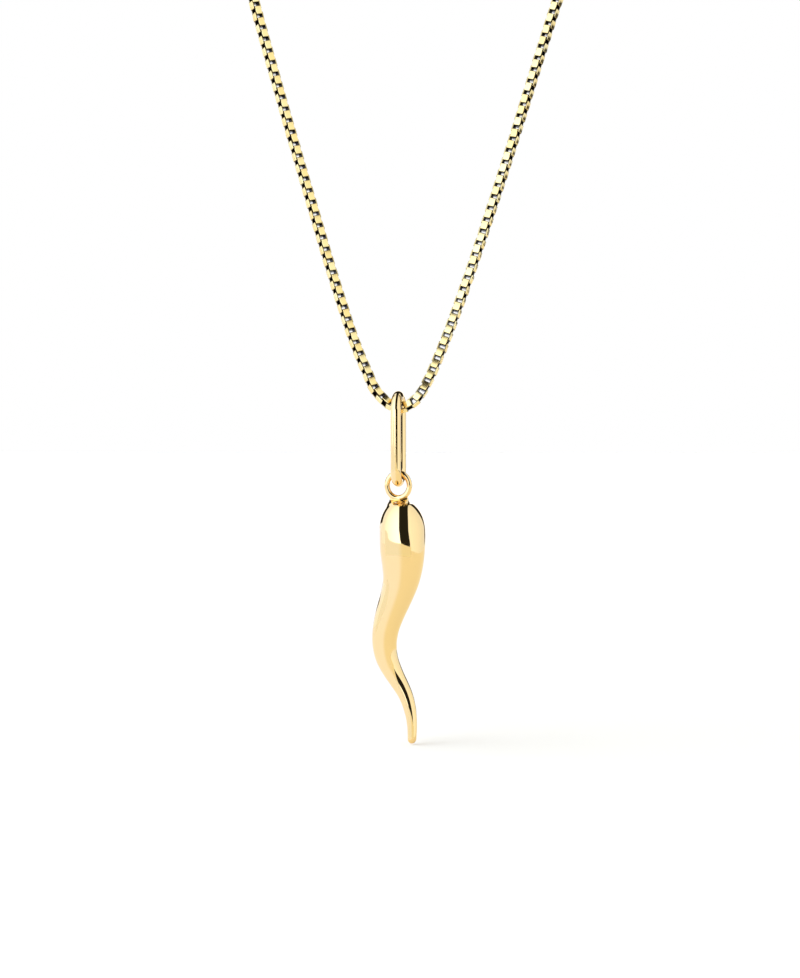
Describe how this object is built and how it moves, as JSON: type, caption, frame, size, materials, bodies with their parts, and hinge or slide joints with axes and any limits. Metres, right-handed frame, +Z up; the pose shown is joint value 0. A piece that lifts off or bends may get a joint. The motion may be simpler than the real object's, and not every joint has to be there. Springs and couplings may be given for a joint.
{
  "type": "cornicello horn pendant necklace",
  "caption": "Twisted horn pendant with a soldered ring, on a long oval wire bail that hangs from a closed loop of fine box chain with a spring ring clasp.",
  "frame": {"origin": "the nape, on the neck side of the clasp's middle, where the necklace hangs", "axes": "+Z up, the pendant hangs towards -Z; -Y towards the front of the wearer, where the pendant is; +X to the wearer's left"},
  "size_m": [0.0978, 0.0965, 0.1815],
  "materials": {
    "polished_gold": "mirror polished 14 carat yellow gold",
    "chain_gold": "diamond-cut flat faces, polished yellow gold",
    "findings_gold": "polished yellow gold"
  },
  "bodies": {
    "necklace": {"chain": "chain_gold", "clasp": "findings_gold", "end_ring_left": "findings_gold", "end_ring_right": "findings_gold"},
    "bail": {"bail": "polished_gold"},
    "pendant": {"horn": "polished_gold"}
  },
  "joints": [
    {"name": "bail_swing", "type": "hinge", "parent": "necklace", "child": "bail", "pos_m": [0, -0.092, -0.142], "axis": [1, 0, 0], "range_deg": [-90, 90]},
    {"name": "horn_swing", "type": "hinge", "parent": "bail", "child": "pendant", "pos_m": [0, -0.092, -0.15019], "axis": [0, 1, 0], "range_deg": [-135, 135]}
  ]
}
